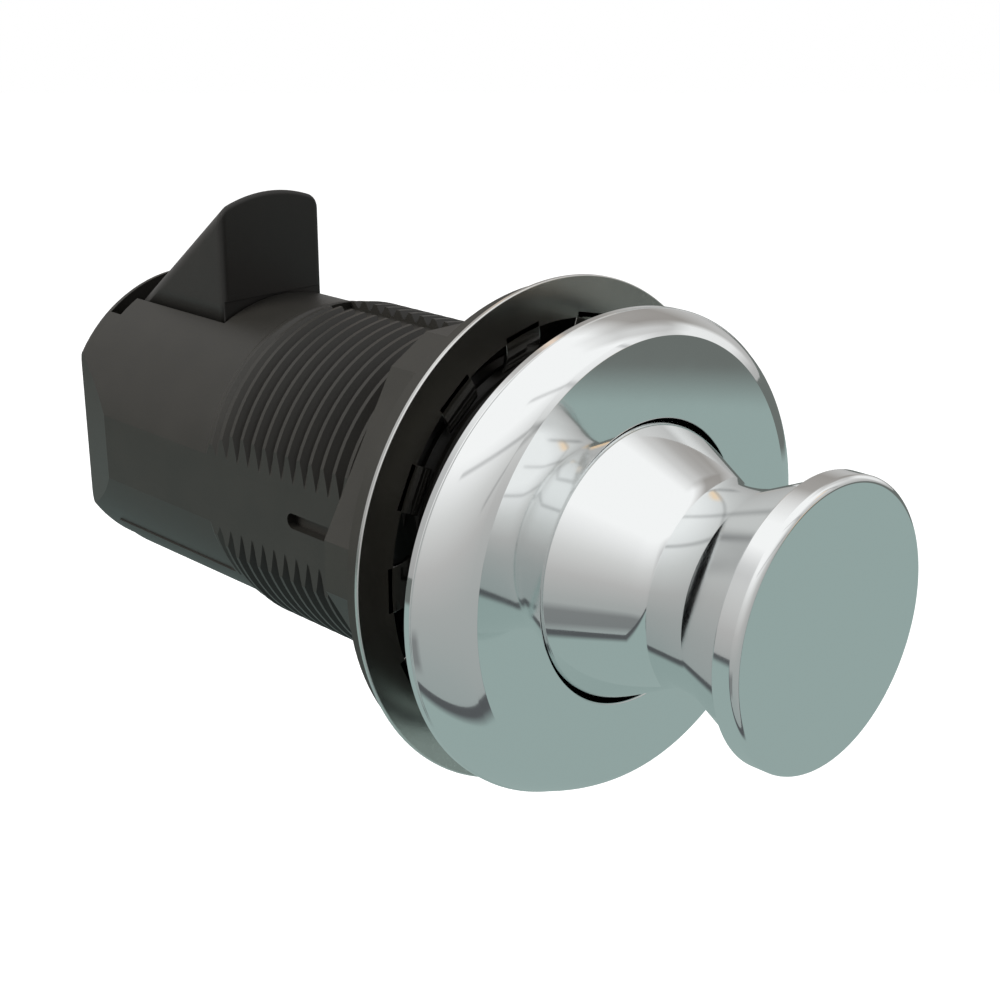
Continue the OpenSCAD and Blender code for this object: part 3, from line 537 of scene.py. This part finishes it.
plate = softened([(ROOT_R - ROOT_IN, RING_Y, 0.05), (RING_R, RING_Y, EDGE),
                  (RING_R, RING_Y + RING_T, EDGE), (ROOT_R - ROOT_IN, RING_Y + RING_T, 0.05)], turns=5)
verts, quads = revolved(plate, RING_STEPS)
verts = verts.reshape(-1, 3)
all_verts, all_quads = [verts], [quads]
count = len(verts)
for k in range(FINGERS):
    grid = finger(90 + (k + 0.5) * 360 / FINGERS)
    rows, columns = grid.shape[:2]
    sides, cap = wrap(rows, columns, closed_rows=False), lid(columns)
    all_verts.append(grid.reshape(-1, 3))
    all_quads.append(np.concatenate([sides, cap[:, ::-1], cap + (rows - 1) * columns]) + count)
    count += rows * columns
verts, quads = np.concatenate(all_verts), np.concatenate(all_quads)
sheet = material("dark spring steel", dark_sheet)
ring = piece("ring_stamped", verts, quads, sheet, "housing", "dark_steel", crease=50)
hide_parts("spring_ring")


# Springs: round drawn wire. The knob's lies in the hollow of the knob and the catch sleeve,
# the bolt's in a pocket of the bolt. Both have their end turns closed.
COIL_SIDES, COIL_STEPS = 14, 40
CLOSED_TURNS, CLOSED_SLOWING = 1.2, 0.86
KNOB_COIL = {"radius": 6.075, "wire": 0.55, "turns": 9, "length": 34.7}
BOLT_COIL = {"radius": 2.3, "wire": 0.45, "turns": 9, "length": 24.4}
BOLT_COIL_AT = np.array([-1.15, 64.6, -15.9])


def drawn_wire(n):
    """Drawn steel wire: bright, with fine lengthwise haze."""
    haze = n.noise(scale=1500.0, detail=3.0)
    rough = n.scaled(haze, gain=0.16, base=0.2)
    tone = n.mix(haze, srgb("8d8d8b"), srgb("b3b3b0"))
    return principled(n, tone, 1.0, rough, n.bump(haze, strength=0.1, depth=0.02 * MM))


def coil(radius, wire, turns, length):
    """Vertices and quads of a wire wound about Z from 0 to length. The rise is slow in the first and
    last turn and even between; the wire's section stands square to the helix."""
    t = np.linspace(0, turns, int(turns * COIL_STEPS) + 1)
    at_ends = np.clip(CLOSED_TURNS - t, 0, 1) + np.clip(CLOSED_TURNS - (turns - t), 0, 1)
    speed = 1 - CLOSED_SLOWING * at_ends
    climb = np.concatenate([[0], np.cumsum((speed[1:] + speed[:-1]) / 2)])
    z = wire + (length - 2 * wire) * climb / climb[-1]
    a = 2 * math.pi * t
    lean = np.arctan2(np.gradient(z, a), radius)[:, None]
    b = np.linspace(0, 2 * math.pi, COIL_SIDES, endpoint=False)[None]
    out, up = wire * np.cos(b), wire * np.sin(b)
    ca, sa = np.cos(a)[:, None], np.sin(a)[:, None]
    grid = np.stack([(radius + out) * ca + up * np.sin(lean) * sa,
                     (radius + out) * sa - up * np.sin(lean) * ca,
                     z[:, None] + up * np.cos(lean)], -1)
    sides, cap = wrap(len(t), COIL_SIDES, closed_rows=False), lid(COIL_SIDES)
    last = cap[:, ::-1] + (len(t) - 1) * COIL_SIDES
    return grid.reshape(-1, 3), np.concatenate([sides[:, ::-1], cap, last])


steel_wire = material("drawn wire", drawn_wire)
verts, quads = coil(**KNOB_COIL)
verts = np.stack([verts[:, 0], verts[:, 2] + CUP_Y, -verts[:, 1]], -1)
knob_spring = piece("knob_coil", verts, quads, steel_wire, "slide", "spring_steel")
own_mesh(knob_spring)
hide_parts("knob_spring")
verts, quads = coil(**BOLT_COIL)
bolt_spring = piece("bolt_coil", verts + BOLT_COIL_AT, quads, steel_wire, "housing", "spring_steel")
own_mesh(bolt_spring)
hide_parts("bolt_spring")


# Bolt: black nylon, moulded. Its foot is the exact solid with the pin's hole and the spring's pocket;
# the part that stands out of the body is drawn here with a smooth dome, and both are one mesh.
BOLT_X, BOLT_HALF, BOLT_Y, BOLT_TOP, BOLT_LAND = -1.15, 7.45, 54.0, 30.9, 0.5
DOME_R, CORNER_R, EDGE_R, SLOPE = 22.0, 2.0, 0.9, math.radians(37.5)
FOOT_TOP, STRIKE_LOW, STRIKE_RELIEF = 15.9, 18.6, 0.2
BOLT_COLUMNS, STRAIGHT_ROWS, CORNER_ROWS, DOME_ROWS, HALVINGS = 81, 10, 16, 40, 30
CREST_HALF, THINNEST = 0.01, 0.001
BOLT_CREASE = 30
SAME_POINT, ON_PLANE = 2e-6, 1e-7


def bolt_top():
    """Outline of the bolt at each height: a front curve and a back curve over the same x. The front is
    upright with rounded edges. The back is where the domed ramp meets that height: the dome's sag over
    the cosine of the slope is the ramp's drop at x, and the slope turns height into depth. Rows follow
    the dome's own section. Each is as wide as the place where its front and back meet, which is found
    by halving an interval. The front's upper edge is rounded over the land: y leans back as a quarter
    circle over the last half millimetre."""
    corner = BOLT_HALF - CORNER_R
    low = -DOME_R + math.sqrt((DOME_R - CORNER_R) ** 2 - corner**2)
    meet = corner * DOME_R / (DOME_R - CORNER_R)
    turn = math.acos((meet - corner) / CORNER_R)

    def front(x, relief):
        """Depth of the upright front: a quarter circle at both edges, cut back by the relief."""
        inside = np.maximum(np.abs(x) - (BOLT_HALF - EDGE_R), 0)
        return np.maximum(BOLT_Y + EDGE_R - np.sqrt(np.maximum(EDGE_R**2 - inside**2, 0)), BOLT_Y + relief)

    def sag(x):
        """Drop of the dome's section at x: the dome's circle, then a smaller one round each corner."""
        rounded = low + np.sqrt(np.maximum(CORNER_R**2 - np.maximum(np.abs(x) - corner, 0) ** 2, 0))
        return np.where(np.abs(x) < meet, -DOME_R + np.sqrt(DOME_R**2 - x**2), rounded)

    around = np.linspace(0, turn, CORNER_ROWS)[1:]
    over = np.linspace(meet, CREST_HALF, DOME_ROWS)[1:]
    # rows close together keep the lower edge of the striking face crisp
    straight = np.concatenate([
        [FOOT_TOP, STRIKE_LOW - 0.05, STRIKE_LOW, STRIKE_LOW + 0.01],
        np.linspace(STRIKE_LOW + 0.06, BOLT_TOP + low / math.cos(SLOPE), STRAIGHT_ROWS),
    ])
    half = np.concatenate([np.full(len(straight), BOLT_HALF), corner + CORNER_R * np.cos(around), over])
    z = np.concatenate([straight, BOLT_TOP + (low + CORNER_R * np.sin(around)) / math.cos(SLOPE),
                        BOLT_TOP + sag(over) / math.cos(SLOPE)])[:, None]

    def section(x):
        """Depth of the front and of the back at x, on every row's height."""
        above = BOLT_TOP + sag(x) / math.cos(SLOPE) - z
        under = np.maximum(BOLT_LAND - above, 0)
        upright = front(x, np.where(z <= STRIKE_LOW, STRIKE_RELIEF, 0))
        upright = upright + BOLT_LAND - np.sqrt(np.maximum(BOLT_LAND**2 - under**2, 0))
        return upright, BOLT_Y + BOLT_LAND + above / math.tan(SLOPE)

    near, far = np.zeros_like(half), half
    for _ in range(HALVINGS):
        middle = (near + far) / 2
        upright, depth = section(middle[:, None])
        inside = (depth > upright)[:, 0]
        near, far = np.where(inside, middle, near), np.where(inside, far, middle)
    x = near[:, None] * np.sin(np.linspace(-math.pi / 2, math.pi / 2, BOLT_COLUMNS))[None]
    upright, depth = section(x)
    level = np.broadcast_to(z, x.shape)
    ahead = np.stack([x + BOLT_X, upright, level], -1)
    behind = np.stack([x + BOLT_X, np.maximum(depth, upright + THINNEST), level], -1)
    grid = np.concatenate([ahead, behind[:, ::-1]], 1)
    rows, columns = grid.shape[:2]
    sides, cap = wrap(rows, columns, closed_rows=False), lid(columns)
    return grid.reshape(-1, 3), np.concatenate([sides, cap + (rows - 1) * columns, cap[:, ::-1]])


verts, quads = bolt_top()
black = material("bolt nylon", moulding("1e1d1b", "282624", 0.42))
bolt = piece("bolt_moulded", verts, quads, black, "bolt", "bolt_plastic", crease=BOLT_CREASE)
foot = bmesh.new()
foot.from_mesh(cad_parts["bolt"].data)
bmesh.ops.remove_doubles(foot, verts=foot.verts, dist=SAME_POINT)
cut = bmesh.ops.bisect_plane(foot, geom=foot.verts[:] + foot.edges[:] + foot.faces[:], dist=ON_PLANE,
                             plane_co=(0, 0, FOOT_TOP * MM), plane_no=(0, 0, 1), clear_outer=True)
rim = [e for e in cut["geom_cut"] if isinstance(e, bmesh.types.BMEdge)]
bmesh.ops.triangle_fill(foot, use_beauty=True, edges=rim)
bmesh.ops.recalc_face_normals(foot, faces=foot.faces)
foot.from_mesh(bolt.data)
foot.to_mesh(bolt.data)
foot.free()
bolt.data.polygons.foreach_set("use_smooth", np.ones(len(bolt.data.polygons), bool))
bolt.data.set_sharp_from_angle(angle=math.radians(BOLT_CREASE))
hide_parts("bolt")


# Mouldings and small pieces keep their exact solids and take their finishes here.
# The black mouldings are glass-filled nylon: satin, with a fine grain from the mould.
RING_LINES, RING_WAVER = 900.0, 1.5


def turned_steel(base, rough):
    """Turned or stamped steel: fine rings about the latch axis over a soft haze."""

    def build(n):
        at = n.add("ShaderNodeTexCoord").outputs["Object"]
        rings = n.add("ShaderNodeTexWave", {"Vector": at, "Scale": RING_LINES, "Distortion": RING_WAVER},
                      wave_type="RINGS", rings_direction="Y").outputs["Fac"]
        haze = n.noise(scale=700.0, detail=3.0)
        dull = n.scaled(haze, gain=0.15, base=rough - 0.07)
        tone = n.mix(n.math("MULTIPLY", haze, 0.3), srgb(base), srgb("606060"))
        return principled(n, tone, 1.0, dull, n.bump(rings, strength=0.06, depth=0.02 * MM))

    return build


FINISHES = {
    "barrel": ("barrel nylon", moulding("22211e", "2f2d29", 0.44)),
    "lower_cover": ("cover nylon", moulding("21201d", "2b2926", 0.46)),
    "clamp_nut": ("nut nylon", moulding("252420", "312f2b", 0.45)),
    "cam_slide": ("natural acetal", moulding("c9c5ba", "d6d3ca", 0.4, grain=0.15)),
    "bezel_seal": ("seal rubber", moulding("1c1c1c", "232323", 0.68, grain=0.5)),
    "knob_seal": ("ring rubber", moulding("191919", "222222", 0.6, grain=0.3)),
    "catch_sleeve": ("sleeve steel", turned_steel("b4b3ae", 0.28)),
    "spindle": ("spindle steel", turned_steel("bcbbb8", 0.22)),
    "spindle_nut": ("nut steel", turned_steel("b2b0ab", 0.3)),
    "spindle_clip": ("clip steel", turned_steel("7d7d7c", 0.34)),
    "bezel_clip": ("ring wire", drawn_wire),
    "catch_pin": ("pin steel", turned_steel("c2c2c0", 0.2)),
    "bolt_pin": ("cross pin steel", turned_steel("bebebb", 0.2)),
}
for node, (name, build) in FINISHES.items():
    made = material(name, build)
    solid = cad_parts[node]
    solid.data.materials.clear()
    solid.data.materials.append(made)
